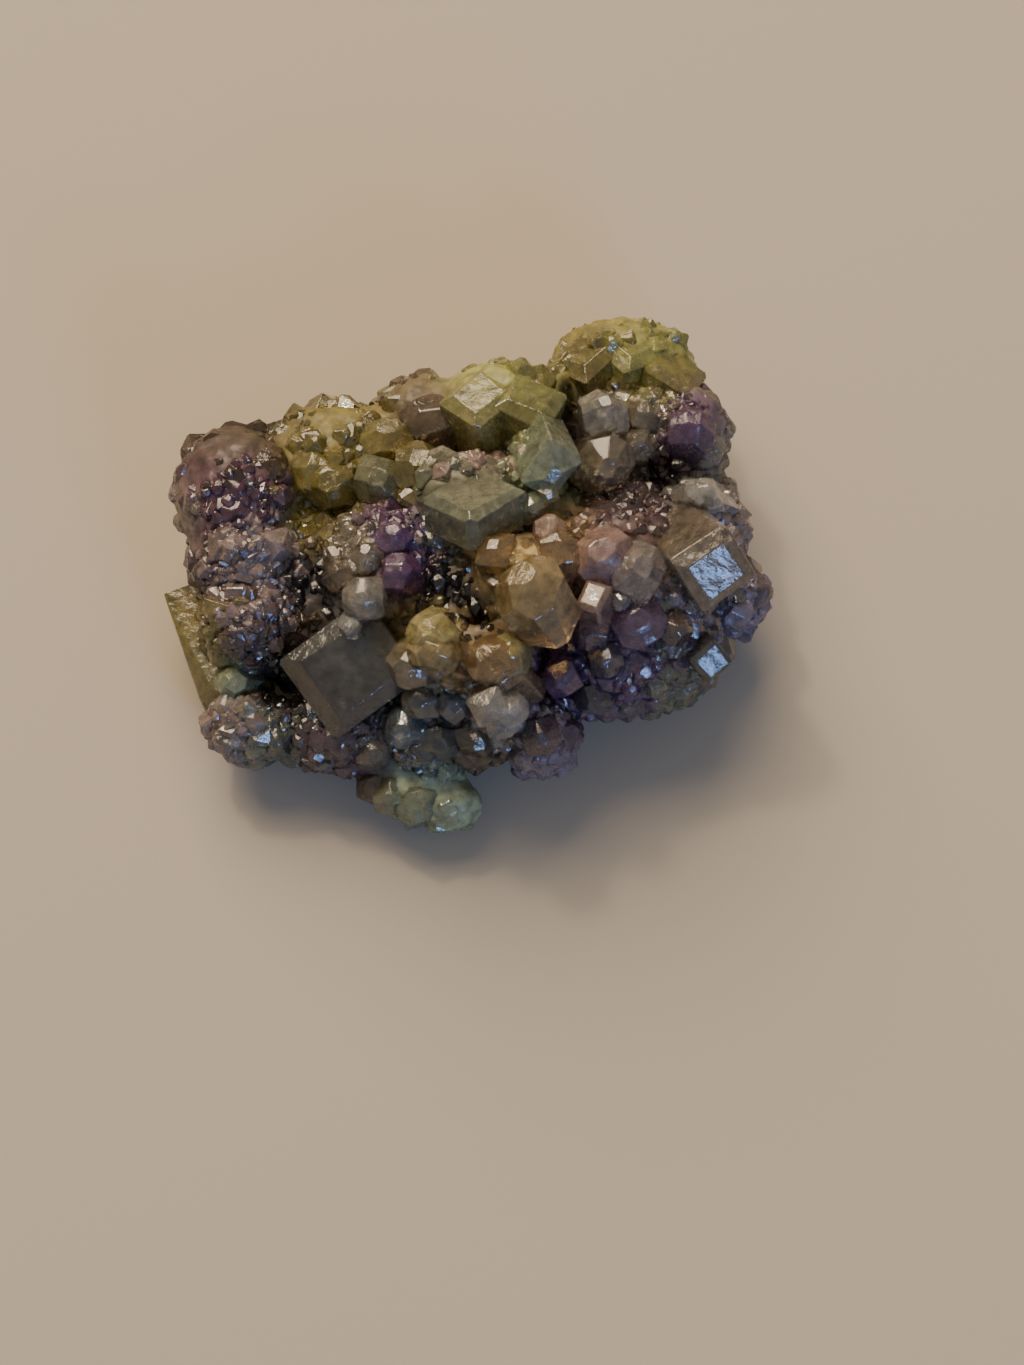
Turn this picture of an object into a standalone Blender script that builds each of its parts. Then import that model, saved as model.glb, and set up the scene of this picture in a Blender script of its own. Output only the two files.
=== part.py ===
"""A vesuvianite specimen: one cluster of purple and green crystals that grew together.

The cluster is modelled in millimetres and turned to metres at the very end. It rests on a small flat
foot, +Z up, and its pieces are placed by how they look from in front and high above: across is to the
right, up is up in that view, and a height over the ground settles the depth.
"""

import math
import random

import bmesh
import bpy
from mathutils import Matrix, Vector
from mathutils.bvhtree import BVHTree

# Driving dimensions, in millimetres and degrees
METRES_PER_MM = 0.001
VIEW_ELEVATION = math.radians(70)  # how high the view stands that across and up belong to
MASS_VOXEL = 0.42
MASS_SMOOTHING = 3
MASS_TRIANGLES_KEPT = 0.06
CORNER_RANGE = (1.02, 1.18)  # distance of the narrow prism faces from the axis, in half widths
PYRAMID_SLOPE = math.radians(37)  # between a pyramid face and the flat cap
CORNER_SLOPE = math.radians(48)  # the same for the faces over the narrow prism faces
CORNER_FACES_FROM = 1.9  # width from which a crystal has those
HIDDEN_CRYSTALS = 76
HIDDEN_WIDTH = (1.8, 3.0)
SEEN_FROM = -0.1  # part of a surface's normal toward the view, over which the view sees it
FOOT_FACES = -0.96  # height of the normal, under which a surface belongs to the foot
CLUSTER_TRIANGLES = 9500
BOX_MIDDLE = Vector((0.1, 1.0, 0))  # of the finished cluster, before it is moved to the origin
SEED = 14

TO_VIEW = Vector((0, -math.cos(VIEW_ELEVATION), math.sin(VIEW_ELEVATION)))

# Lumps of the mass: across, up, height of the middle, and the radii across, deep and tall
LUMPS = [
    # core
    (-7.0, 2.0, 4.2, 6.2, 6.0, 3.8),
    (0.6, 2.0, 4.6, 6.6, 6.8, 5.3),
    (7.6, 3.4, 4.4, 5.8, 6.4, 4.2),
    # left upper lobe and the column under it
    (-11.9, 6.3, 7.2, 3.2, 3.5, 3.3),
    (-11.4, 3.0, 6.6, 2.8, 2.7, 2.9),
    (-11.2, -0.2, 5.8, 2.5, 2.5, 2.9),
    # lower left
    (-11.2, -5.4, 3.4, 2.3, 1.9, 2.3),
    (-6.3, -5.6, 3.4, 3.4, 2.3, 2.6),
    (-6.0, -1.6, 4.4, 3.6, 3.8, 2.6),
    # granular bunch left of the middle
    (-4.7, 2.7, 7.5, 3.0, 3.0, 3.2),
    # green upper left, brown round crystal, green dome
    (-6.8, 7.9, 6.2, 4.1, 3.1, 3.1),
    (-2.5, 10.1, 6.6, 2.4, 2.3, 2.7),
    (1.4, 10.6, 7.6, 3.2, 2.3, 3.2),
    (-0.4, 6.0, 8.4, 3.1, 2.2, 3.1),
    (3.3, 7.6, 8.6, 1.5, 1.9, 2.9),
    # green dome and flank on the right
    (7.6, 12.9, 5.6, 3.8, 2.5, 3.2),
    (8.7, 9.0, 5.4, 4.2, 3.5, 3.2),
    (11.0, 9.6, 6.4, 1.9, 2.2, 2.8),
    (10.9, 4.2, 4.6, 3.1, 3.5, 3.2),
    (12.8, 1.0, 3.7, 2.3, 1.8, 2.3),
    # summit and the ridge to its right
    (2.4, 1.7, 8.8, 2.4, 2.4, 3.4),
    (6.6, 3.3, 8.0, 3.6, 1.9, 3.1),
    (11.0, 2.6, 7.4, 1.8, 1.9, 3.0),
    # front crest and its foot
    (0.0, -2.0, 7.8, 3.3, 2.1, 3.0),
    (1.4, -4.4, 6.4, 1.7, 1.5, 2.9),
    # purple slope, lower right
    (7.4, -1.4, 4.9, 5.0, 3.5, 3.9),
    (8.0, 0.6, 6.8, 3.9, 2.1, 3.0),
    # bottom lobe, lower middle, tongue
    (3.3, -5.9, 4.4, 1.8, 2.0, 2.7),
    (-0.2, -5.2, 4.0, 2.3, 2.3, 2.5),
    (-2.4, -5.6, 3.8, 2.3, 2.3, 2.5),
    (-2.7, -8.6, 2.3, 2.6, 1.5, 1.7),
    (-1.1, -9.4, 2.1, 1.6, 1.3, 1.7),
    # dark bit that closes the cleft at the back
    (4.5, 11.5, 6.4, 1.3, 1.7, 2.4),
]

# Pits and clefts in the mass, given like the lumps
PITS = [
    (0.3, 0.4, 11.0, 0.8, 0.7, 3.4),
    (4.75, 9.6, 9.4, 0.55, 3.2, 4.0),
    (9.6, 7.4, 8.8, 1.4, 1.2, 2.2),
    (-9.4, -3.2, 7.2, 2.6, 0.7, 2.4),
    (-7.9, 2.6, 9.6, 0.6, 2.6, 2.2),
    (-1.0, 3.4, 11.6, 1.2, 0.7, 2.2),
]

# Crystals placed one by one: across, up and height of the tip, width, depth as a share of the width,
# length, the heading and the angle of the lean, the spin, and the share of the width that the cap takes
CRYSTALS = [
    # golden summit crystal, orange neighbours
    (2.4, 2.1, 14.0, 3.5, 1.0, 3.6, 140, 24, 20, 0.56),
    (4.5, 4.0, 12.5, 2.3, 1.1, 5.0, 60, 25, 40, 0.40),
    (3.9, 5.0, 12.1, 1.6, 1.0, 4.0, 80, 32, 15, 0.35),
    (1.0, 3.6, 12.6, 1.9, 0.9, 4.5, 140, 16, 30, 0.30),
    # pink pair and the small ones before it
    (6.4, 3.3, 12.6, 3.1, 0.82, 5.5, 285, 8, 32, 0.60),
    (8.4, 2.5, 12.2, 2.8, 0.90, 5.5, 330, 20, 8, 0.50),
    (5.9, 1.1, 11.9, 1.7, 0.80, 4.0, 132, 13, 25, 0.70),
    (7.4, 0.8, 11.2, 0.9, 1.0, 3.5, 300, 30, 0, 0.40),
    # prism with the broad face to the lower right
    (12.0, 2.3, 11.8, 3.3, 1.0, 6.5, 294, 40, 12, 0.64),
    (9.9, 3.7, 10.8, 1.5, 1.0, 4.0, 130, 25, 35, 0.40),
    # kite, small green ones at its foot
    (4.0, 7.0, 12.9, 2.7, 0.75, 5.0, 282, 47, 45, 0.30),
    (3.8, 6.0, 12.0, 0.9, 1.0, 3.5, 285, 40, 10, 0.30),
    (3.0, 5.4, 11.9, 1.5, 1.0, 4.0, 270, 25, 20, 0.40),
    # kidney, dark one behind it, yellow-brown ones, clear pair
    (-2.2, -0.5, 12.8, 2.1, 1.0, 5.0, 200, 14, 25, 0.50),
    (-1.3, -1.7, 12.4, 1.7, 1.2, 5.0, 330, 25, 10, 0.45),
    (-2.7, -1.6, 12.1, 1.5, 1.0, 5.0, 215, 25, 40, 0.40),
    (-3.4, -2.5, 10.6, 2.4, 0.9, 5.0, 230, 30, 15, 0.50),
    (0.5, -1.8, 12.0, 2.4, 1.0, 5.0, 170, 18, 35, 0.50),
    (2.1, -1.5, 11.8, 2.2, 1.0, 5.0, 20, 18, 5, 0.50),
    (1.4, -2.9, 11.3, 1.9, 0.9, 5.0, 275, 28, 25, 0.50),
    (0.7, -4.5, 11.0, 1.8, 0.9, 5.0, 250, 34, 45, 0.25),
    (2.1, -4.6, 10.6, 1.7, 1.0, 5.0, 300, 32, 20, 0.45),
    (1.4, -5.5, 9.4, 1.5, 1.0, 4.5, 270, 45, 10, 0.40),
    # bluish clear ones and purple bunch left of the middle
    (-5.5, 0.9, 11.2, 2.1, 1.0, 4.5, 250, 25, 20, 0.45),
    (-6.2, -0.6, 10.0, 1.1, 1.0, 4.0, 250, 40, 0, 0.40),
    (-6.9, 2.4, 10.4, 1.7, 1.0, 4.0, 170, 28, 30, 0.40),
    (-3.9, 4.4, 11.2, 2.0, 1.0, 4.0, 80, 12, 15, 0.45),
    (-5.3, 3.4, 11.1, 1.9, 0.9, 4.0, 130, 14, 40, 0.40),
    (-3.3, 2.4, 11.4, 1.9, 1.0, 4.0, 330, 16, 25, 0.40),
    # droplet, pointed grey-brown crystal, clear bar, purple patch on the right
    (6.6, 10.9, 10.6, 2.3, 1.0, 5.0, 80, 8, 22, 0.35),
    (6.7, 7.5, 10.2, 3.2, 0.85, 6.0, 285, 30, 45, 0.42),
    (8.6, 10.6, 9.4, 1.8, 1.0, 4.0, 60, 14, 10, 0.45),
    (8.4, 9.0, 9.5, 1.7, 1.0, 4.0, 20, 12, 35, 0.45),
    (10.8, 6.3, 10.0, 1.5, 0.8, 4.0, 200, 30, 10, 0.50),
    (11.9, 6.3, 10.0, 1.5, 0.8, 4.0, 340, 35, 20, 0.50),
    (11.1, 10.1, 9.8, 2.4, 1.0, 4.5, 60, 12, 25, 0.50),
    (12.1, 11.3, 8.4, 1.7, 1.0, 4.0, 45, 40, 10, 0.50),
    (12.5, 8.7, 8.2, 1.8, 1.0, 4.0, 350, 45, 30, 0.50),
    # right flank and tip
    (12.7, 5.0, 7.2, 2.1, 1.0, 4.5, 10, 45, 15, 0.50),
    (13.6, 2.7, 6.0, 2.2, 1.0, 4.5, 355, 55, 35, 0.50),
    (15.1, 1.4, 4.8, 2.2, 1.0, 4.5, 352, 68, 5, 0.34),
    (13.9, 0.2, 5.4, 1.8, 1.0, 4.5, 325, 56, 20, 0.40),
    # serrated rim at the lower right
    (11.9, -2.2, 7.7, 1.7, 1.0, 4.0, 294, 41, 20, 0.72),
    (9.5, -4.1, 5.4, 1.8, 1.0, 4.0, 280, 58, 15, 0.35),
    (10.9, -3.7, 5.3, 1.6, 1.0, 4.0, 290, 58, 35, 0.35),
    (12.1, -3.2, 5.0, 1.6, 1.0, 4.0, 305, 60, 10, 0.35),
    (13.0, -1.9, 5.0, 1.6, 1.0, 4.0, 320, 60, 25, 0.35),
    # half-purple dome and neighbours on the purple slope
    (8.2, -0.1, 10.4, 2.7, 1.0, 5.0, 280, 20, 20, 0.50),
    (5.6, -0.6, 10.0, 2.1, 1.0, 4.5, 240, 25, 10, 0.45),
    (10.4, -0.6, 9.4, 1.7, 1.0, 4.0, 320, 35, 35, 0.45),
    (4.4, -3.2, 9.0, 1.7, 1.0, 4.0, 270, 35, 25, 0.45),
    (6.7, -2.3, 9.0, 1.7, 1.0, 4.0, 280, 35, 5, 0.45),
    (8.6, -2.7, 8.0, 1.7, 1.0, 4.0, 290, 40, 40, 0.45),
    (6.0, -4.4, 6.8, 1.8, 1.0, 4.0, 270, 50, 15, 0.40),
    (7.8, -4.6, 5.8, 1.6, 1.0, 4.0, 275, 55, 30, 0.40),
    # bottom lobe
    (3.4, -6.0, 7.6, 1.9, 1.0, 4.0, 270, 30, 15, 0.45),
    (2.3, -7.1, 5.8, 1.6, 1.0, 4.0, 240, 50, 35, 0.40),
    (3.6, -7.6, 5.2, 1.7, 1.0, 4.0, 270, 58, 10, 0.40),
    (4.6, -6.8, 5.8, 1.6, 1.0, 4.0, 310, 50, 25, 0.40),
    # dark lumps of the lower middle, tongue
    (-2.7, -4.1, 8.0, 2.5, 1.0, 4.5, 250, 24, 20, 0.50),
    (-0.9, -4.4, 8.2, 2.2, 1.0, 4.5, 280, 30, 40, 0.50),
    (-3.5, -5.7, 6.7, 2.6, 1.0, 4.5, 250, 36, 5, 0.50),
    (-1.6, -6.4, 6.4, 2.5, 1.0, 4.5, 270, 42, 25, 0.50),
    (0.3, -6.3, 6.5, 2.3, 1.0, 4.5, 285, 42, 10, 0.45),
    (-4.2, -9.1, 3.7, 1.9, 1.0, 3.0, 250, 40, 20, 0.45),
    (-2.9, -9.1, 3.9, 2.2, 1.0, 3.0, 250, 16, 35, 0.60),
    (-1.2, -9.5, 3.6, 1.9, 1.0, 3.2, 290, 26, 10, 0.50),
    (-5.3, -8.9, 3.2, 1.6, 1.0, 3.5, 250, 50, 30, 0.40),
    # dark smooth crystal with the broad cap, olive prism that lies on the left
    (-6.2, -2.6, 8.3, 5.4, 0.9, 5.0, 255, 24, 50, 0.66),
    (-11.7, -4.9, 3.2, 3.4, 0.9, 7.0, 288, 94, 10, 0.55),
    # lower left
    (-12.4, -3.1, 6.2, 1.5, 1.0, 4.0, 200, 30, 15, 0.45),
    (-12.6, -4.5, 5.6, 1.4, 1.0, 4.0, 220, 38, 35, 0.45),
    (-11.1, -5.2, 5.8, 1.7, 1.0, 4.0, 250, 30, 20, 0.40),
    (-9.8, -6.3, 5.0, 1.7, 1.0, 4.0, 280, 45, 5, 0.40),
    (-12.3, -6.0, 4.8, 1.6, 1.0, 4.0, 230, 50, 30, 0.35),
    (-8.4, -6.7, 4.6, 1.8, 1.0, 4.0, 265, 48, 15, 0.35),
    (-6.9, -6.2, 5.8, 2.2, 1.0, 4.0, 260, 34, 35, 0.50),
    (-4.9, -6.9, 5.2, 2.0, 1.0, 4.0, 275, 42, 10, 0.50),
    (-6.3, -7.6, 3.8, 1.6, 1.0, 4.0, 265, 55, 25, 0.40),
    # glassy shell of the left lobe
    (-12.6, 7.8, 9.8, 3.0, 0.9, 5.0, 130, 20, 20, 0.50),
    (-10.8, 8.3, 10.0, 3.2, 0.9, 5.0, 70, 20, 40, 0.60),
    (-14.0, 5.8, 8.8, 2.8, 0.9, 5.0, 175, 40, 10, 0.55),
    # green upper left
    (-8.6, 8.0, 9.3, 2.8, 0.9, 5.0, 150, 32, 20, 0.60),
    (-6.4, 9.5, 9.1, 2.8, 0.9, 5.0, 95, 28, 40, 0.60),
    (-4.3, 9.7, 9.7, 2.7, 0.9, 5.0, 85, 22, 10, 0.60),
    (-7.2, 6.9, 9.6, 2.5, 1.0, 5.0, 250, 10, 30, 0.60),
    (-4.8, 7.0, 10.0, 2.4, 1.0, 5.0, 250, 12, 5, 0.55),
    (-2.6, 8.0, 10.6, 2.5, 1.0, 5.0, 60, 10, 25, 0.55),
    (-2.2, 10.9, 9.6, 3.0, 1.0, 5.0, 95, 26, 15, 0.60),
    # green domes
    (0.3, 11.3, 11.0, 3.2, 0.9, 5.0, 110, 22, 25, 0.62),
    (2.9, 11.2, 11.0, 3.2, 0.9, 5.0, 60, 22, 5, 0.62),
    (0.0, 6.3, 12.1, 3.9, 1.0, 2.0, 100, 38, 35, 0.78),
    (5.6, 13.7, 8.6, 3.2, 0.9, 4.5, 120, 30, 20, 0.62),
    (8.2, 14.2, 8.6, 3.4, 0.9, 4.5, 85, 28, 40, 0.62),
    (10.4, 12.8, 8.5, 2.8, 0.9, 4.5, 50, 32, 10, 0.62),
]

# Bunches of smaller crystals: across and up of the middle, the two half extents, how many,
# and the least and the greatest width
BUNCHES = [
    (-11.2, 1.2, 2.2, 3.4, 13, 1.1, 1.7),
    (-11.6, 5.6, 2.0, 1.8, 6, 1.1, 1.6),
    (-4.6, 2.8, 2.6, 2.8, 9, 1.0, 1.5),
    (8.0, 9.2, 2.6, 1.8, 7, 1.0, 1.6),
    (6.8, -2.4, 4.4, 2.2, 15, 1.0, 1.6),
    (3.4, -5.6, 1.6, 1.8, 4, 1.0, 1.4),
    (-8.6, -6.2, 3.4, 1.2, 6, 1.0, 1.6),
    (-1.6, -5.2, 2.8, 1.6, 5, 1.2, 1.8),
    (12.6, 5.2, 1.3, 3.0, 6, 1.1, 1.6),
    (11.6, -0.6, 1.8, 1.6, 6, 1.0, 1.5),
    (3.8, -0.9, 1.8, 1.3, 9, 1.0, 1.6),
]

FOOT_BLOCK = 80.0  # edge of the block that cuts the foot flat
FAR_OUT = 80.0  # where the rays that find the surface start

# How the crystals of a bunch stand
BUNCH_LENGTH = 2.2  # and as much again as the width
BUNCH_PROUD = (0.18, 0.42)
BUNCH_SCATTER = 0.35
CAP_RANGE = (0.3, 0.6)
DEPTH_RANGE = (0.8, 1.0)


def seen_at(across, up, height):
    """The point over the ground that the view shows at across and up."""
    deep = (up - height * math.cos(VIEW_ELEVATION)) / math.sin(VIEW_ELEVATION)
    return Vector((across, deep, height))


def lean_axis(heading, lean):
    """The unit vector that leans from straight up toward a heading, both in degrees."""
    flat = math.sin(math.radians(lean))
    turn = math.radians(heading)
    return Vector((flat * math.cos(turn), flat * math.sin(turn), math.cos(math.radians(lean))))


def link_new(name, mesh, collection):
    thing = bpy.data.objects.new(name, mesh)
    collection.objects.link(thing)
    return thing


def evaluated_mesh(thing, name):
    """The mesh of the object with its modifiers, as a new one."""
    bpy.context.view_layer.update()
    graph = bpy.context.evaluated_depsgraph_get()
    mesh = bpy.data.meshes.new_from_object(thing.evaluated_get(graph))
    mesh.name = name
    return mesh


def ellipsoids(rows, name, collection):
    """One mesh of ellipsoids at the rows' places."""
    bm = bmesh.new()
    for across, up, height, wide, deep, tall in rows:
        place = Matrix.LocRotScale(seen_at(across, up, height), None, Vector((wide, deep, tall)))
        bmesh.ops.create_icosphere(bm, subdivisions=4, radius=1, matrix=place)
    mesh = bpy.data.meshes.new(name)
    bm.to_mesh(mesh)
    bm.free()
    return link_new(name, mesh, collection)


def boolean(thing, operation, name, other=None, collection=None):
    modifier = thing.modifiers.new(name, "BOOLEAN")
    modifier.operation = operation
    modifier.solver = "EXACT"
    if collection:
        modifier.operand_type = "COLLECTION"
        modifier.collection = collection
    else:
        modifier.object = other


def crystal_cuts(width, cap, corner):
    """The planes that shape a crystal, as points and normals: the narrow prism faces, then the low
    faces round the cap."""
    half = width / 2
    for quarter in range(4):
        side = math.radians(90 * quarter)
        edge = side + math.radians(45)
        along = Vector((math.cos(side), math.sin(side), 0))
        across = Vector((math.cos(edge), math.sin(edge), 0))
        yield across * half * corner, across
        tilt = Vector((0, 0, math.cos(PYRAMID_SLOPE)))
        yield along * half * cap, along * math.sin(PYRAMID_SLOPE) + tilt
        if width >= CORNER_FACES_FROM:
            tilt = Vector((0, 0, math.cos(CORNER_SLOPE)))
            yield across * half * cap * corner, across * math.sin(CORNER_SLOPE) + tilt


def crystal_mesh(width, depth, length, cap, corner):
    """A crystal with its cap at the origin and its body below."""
    bm = bmesh.new()
    bmesh.ops.create_cube(bm, size=1)
    bmesh.ops.translate(bm, vec=(0, 0, -0.5), verts=bm.verts)
    bmesh.ops.scale(bm, vec=(width, width, length), verts=bm.verts)
    for point, normal in crystal_cuts(width, cap, corner):
        everything = bm.verts[:] + bm.edges[:] + bm.faces[:]
        bmesh.ops.bisect_plane(
            bm, geom=everything, dist=1e-6, plane_co=point, plane_no=normal, clear_outer=True
        )
        rim = [edge for edge in bm.edges if edge.is_boundary]
        bmesh.ops.holes_fill(bm, edges=rim)
    bmesh.ops.scale(bm, vec=(1, depth, 1), verts=bm.verts)
    mesh = bpy.data.meshes.new("crystal")
    bm.to_mesh(mesh)
    bm.free()
    return mesh


def place_crystal(tip, axis, spin, size, collection):
    """Adds a crystal along the axis; size is its width, depth share, length, cap and corner."""
    thing = link_new("crystal", crystal_mesh(*size), collection)
    turn = axis.to_track_quat("Z", "Y").to_matrix().to_4x4()
    thing.matrix_world = Matrix.Translation(tip) @ turn @ Matrix.Rotation(spin, 4, "Z")


def rock_mass(helpers):
    """The lumps melted into one body with its pits, as a light mesh."""
    lumps = ellipsoids(LUMPS, "lumps", helpers)
    pits = ellipsoids(PITS, "pits", helpers)
    melt = lumps.modifiers.new("melt", "REMESH")
    melt.mode = "VOXEL"
    melt.voxel_size = MASS_VOXEL
    boolean(lumps, "DIFFERENCE", "pits", other=pits)
    again = lumps.modifiers.new("even", "REMESH")
    again.mode = "VOXEL"
    again.voxel_size = MASS_VOXEL
    smooth = lumps.modifiers.new("smooth", "SMOOTH")
    smooth.iterations = MASS_SMOOTHING
    fewer = lumps.modifiers.new("fewer", "DECIMATE")
    fewer.ratio = MASS_TRIANGLES_KEPT
    return link_new("mass", evaluated_mesh(lumps, "mass"), helpers)


def surface_tree(thing):
    graph = bpy.context.evaluated_depsgraph_get()
    return BVHTree.FromObject(thing, graph)


def grow_single_crystals(chance, collection):
    for across, up, height, width, depth, length, heading, lean, spin, cap in CRYSTALS:
        tip = seen_at(across, up, height)
        size = (width, depth, length, cap, chance.uniform(*CORNER_RANGE))
        place_crystal(tip, lean_axis(heading, lean), math.radians(spin), size, collection)


def grow_on(tree, start, toward, width, chance, collection):
    """Grows one crystal where a ray meets the mass, roughly square to its surface."""
    place, normal, _, _ = tree.ray_cast(start, toward)
    if place is None:
        return False
    sway = Vector([chance.uniform(-BUNCH_SCATTER, BUNCH_SCATTER) for _ in range(3)])
    axis = (normal + sway).normalized()
    tip = place + axis * width * chance.uniform(*BUNCH_PROUD)
    cap = chance.uniform(*CAP_RANGE)
    corner = chance.uniform(*CORNER_RANGE)
    size = (width, chance.uniform(*DEPTH_RANGE), width + BUNCH_LENGTH, cap, corner)
    place_crystal(tip, axis, chance.uniform(0, math.pi / 2), size, collection)
    return True


def grow_bunches(tree, chance, collection):
    for across, up, half_across, half_up, count, least, most in BUNCHES:
        for _ in range(count):
            turn = chance.uniform(0, 2 * math.pi)
            reach = math.sqrt(chance.random())
            seen = (across + half_across * reach * math.cos(turn), up + half_up * reach * math.sin(turn))
            start = seen_at(*seen, FAR_OUT)
            grow_on(tree, start, -TO_VIEW, chance.uniform(least, most), chance, collection)


def grow_hidden_crystals(tree, chance, collection):
    """Covers the back and the sides that the view doesn't show, but not the foot."""
    middle = seen_at(0, 2, 5)
    grown = 0
    while grown < HIDDEN_CRYSTALS:
        turn = chance.uniform(0, 2 * math.pi)
        rise = chance.uniform(-1.4, 0.5)
        outward = Vector((math.cos(turn), math.sin(turn), rise)).normalized()
        aim = middle + Vector((chance.uniform(-9, 9), chance.uniform(-3, 3), 0))
        start = aim + outward * FAR_OUT
        _, normal, _, _ = tree.ray_cast(start, -outward)
        if normal is None or normal.dot(TO_VIEW) > SEEN_FROM or normal.z < FOOT_FACES:
            continue
        width = chance.uniform(*HIDDEN_WIDTH)
        grown += grow_on(tree, start, -outward, width, chance, collection)


def foot_block(helpers):
    bm = bmesh.new()
    bmesh.ops.create_cube(bm, size=FOOT_BLOCK)
    bmesh.ops.translate(bm, vec=(0, 0, -FOOT_BLOCK / 2), verts=bm.verts)
    mesh = bpy.data.meshes.new("foot_block")
    bm.to_mesh(mesh)
    bm.free()
    return link_new("foot_block", mesh, helpers)


def keep_outer_skin(mesh):
    """Drops the small closed shells that crystals leave where they enclose a gap."""
    bm = bmesh.new()
    bm.from_mesh(mesh)
    waiting = set(bm.verts)
    shells = []
    while waiting:
        front = [waiting.pop()]
        shell = set(front)
        while front:
            near = {edge.other_vert(front[-1]) for edge in front[-1].link_edges} & waiting
            front.pop()
            waiting -= near
            shell |= near
            front.extend(near)
        shells.append(shell)
    outer = max(shells, key=len)
    inner = [vert for vert in bm.verts if vert not in outer]
    bmesh.ops.delete(bm, geom=inner, context="VERTS")
    bmesh.ops.triangulate(bm, faces=bm.faces)
    bm.to_mesh(mesh)
    bm.free()


def thin_out(thing, count):
    """Takes out the triangles that the shape needs least, down to the count."""
    fewer = thing.modifiers.new("fewer", "DECIMATE")
    fewer.ratio = count / len(thing.data.polygons)


def centre_and_scale(mesh):
    """Moves the middle of the box to the Z axis and turns millimetres to metres."""
    mesh.transform(Matrix.Translation(-BOX_MIDDLE))
    mesh.transform(Matrix.Scale(METRES_PER_MM, 4))


def cluster_material():
    material = bpy.data.materials.new("vesuvianite")
    material.use_nodes = True
    shader = material.node_tree.nodes["Principled BSDF"]
    shader.inputs["Base Color"].default_value = (0.16, 0.12, 0.13, 1)
    shader.inputs["Roughness"].default_value = 0.15
    shader.inputs["Metallic"].default_value = 0
    return material


def build():
    for thing in list(bpy.data.objects):
        bpy.data.objects.remove(thing)
    scene = bpy.context.scene
    helpers = bpy.data.collections.new("helpers")
    grown = bpy.data.collections.new("crystals")
    finished = bpy.data.collections.new("vesuvianite")
    for collection in (helpers, grown, finished):
        scene.collection.children.link(collection)

    mass = rock_mass(helpers)
    tree = surface_tree(mass)
    chance = random.Random(SEED)
    grow_single_crystals(chance, grown)
    grow_bunches(tree, chance, grown)
    grow_hidden_crystals(tree, chance, grown)

    boolean(mass, "UNION", "crystals", collection=grown)
    mesh = evaluated_mesh(mass, "vesuvianite_cluster")
    keep_outer_skin(mesh)
    skin = link_new("skin", mesh, helpers)
    thin_out(skin, CLUSTER_TRIANGLES)
    boolean(skin, "DIFFERENCE", "foot", other=foot_block(helpers))
    mesh = evaluated_mesh(skin, "vesuvianite_cluster")
    centre_and_scale(mesh)
    mesh.materials.clear()
    mesh.materials.append(cluster_material())
    link_new("vesuvianite_cluster", mesh, finished)

    for collection in (helpers, grown):
        for thing in list(collection.objects):
            bpy.data.objects.remove(thing)
        bpy.data.collections.remove(collection)


build()
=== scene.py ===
"""The looks of the vesuvianite cluster: glassy crystals in purple, olive, gold and clear tints.

Lumps and crystals are placed in millimetres by how they look from in front and high above: across is
to the right, up is up in that view, and a height over the ground settles the depth.
"""

import math
import random

import bmesh
import bpy
import numpy as np
from mathutils import Matrix, Vector, noise
from mathutils.bvhtree import BVHTree


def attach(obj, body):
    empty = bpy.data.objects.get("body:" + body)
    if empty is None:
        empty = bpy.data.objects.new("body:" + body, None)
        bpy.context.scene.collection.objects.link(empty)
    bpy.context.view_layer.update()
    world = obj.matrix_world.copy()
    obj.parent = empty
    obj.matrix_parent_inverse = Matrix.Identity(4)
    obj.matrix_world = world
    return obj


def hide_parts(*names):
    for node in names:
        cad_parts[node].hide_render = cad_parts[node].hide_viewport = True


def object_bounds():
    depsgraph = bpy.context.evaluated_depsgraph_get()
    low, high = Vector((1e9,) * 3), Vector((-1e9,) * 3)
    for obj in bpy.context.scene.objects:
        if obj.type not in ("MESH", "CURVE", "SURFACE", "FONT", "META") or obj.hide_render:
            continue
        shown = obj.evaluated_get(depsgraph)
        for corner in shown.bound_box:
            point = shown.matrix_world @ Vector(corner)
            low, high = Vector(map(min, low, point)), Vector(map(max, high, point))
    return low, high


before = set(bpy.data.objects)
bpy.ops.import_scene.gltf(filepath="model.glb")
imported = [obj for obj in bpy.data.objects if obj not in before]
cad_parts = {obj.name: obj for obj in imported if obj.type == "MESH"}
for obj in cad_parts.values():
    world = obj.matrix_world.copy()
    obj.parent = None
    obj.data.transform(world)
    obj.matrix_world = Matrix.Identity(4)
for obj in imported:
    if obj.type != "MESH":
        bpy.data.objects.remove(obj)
CAD_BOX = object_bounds()

NODE = "vesuvianite_cluster"

# Sizes in millimetres, angles in radians
METRES_PER_MM = 0.001
VIEW_ELEVATION = math.radians(70)  # of the view that across and up belong to
BOX_MIDDLE = Vector((0.1, 1.0, 0))  # of the cluster, before it is moved to the origin
MASS_VOXEL = 0.2
MASS_SMOOTHING = 8  # rounds
LUMP_DETAIL = 4  # how often a lump's ball is divided
JOLT = 0.13  # how far the planes of a crystal are off, as a share
SMALL_JOLT = 0.05  # the same for the single crystals with four sides
CORNER_RANGE = (1.06, 1.28)  # distance of the narrow prism faces from the axis, in half widths
SHARP_CORNER = 1.32  # the same for crystals with four sides
PYRAMID_SLOPE = math.radians(37)  # between a pyramid face and the flat cap
CORNER_SLOPE = math.radians(48)  # the same for the faces over the narrow prism faces
BEVEL_SHARE = 0.035  # of a crystal's width
ROUNDED_CAPS = (0.32, 0.62)  # a single crystal with a smaller or a broader cap keeps four sides
CAP_SHARE = 0.7  # how much of its cap the extra faces of a rounded crystal leave
ROOT_SHARE = 0.1  # of a crystal's length, whose edges stay hard because the mass hides them
SAME_PLACE = 1e-5  # corners nearer than this to a cut lie on it
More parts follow.
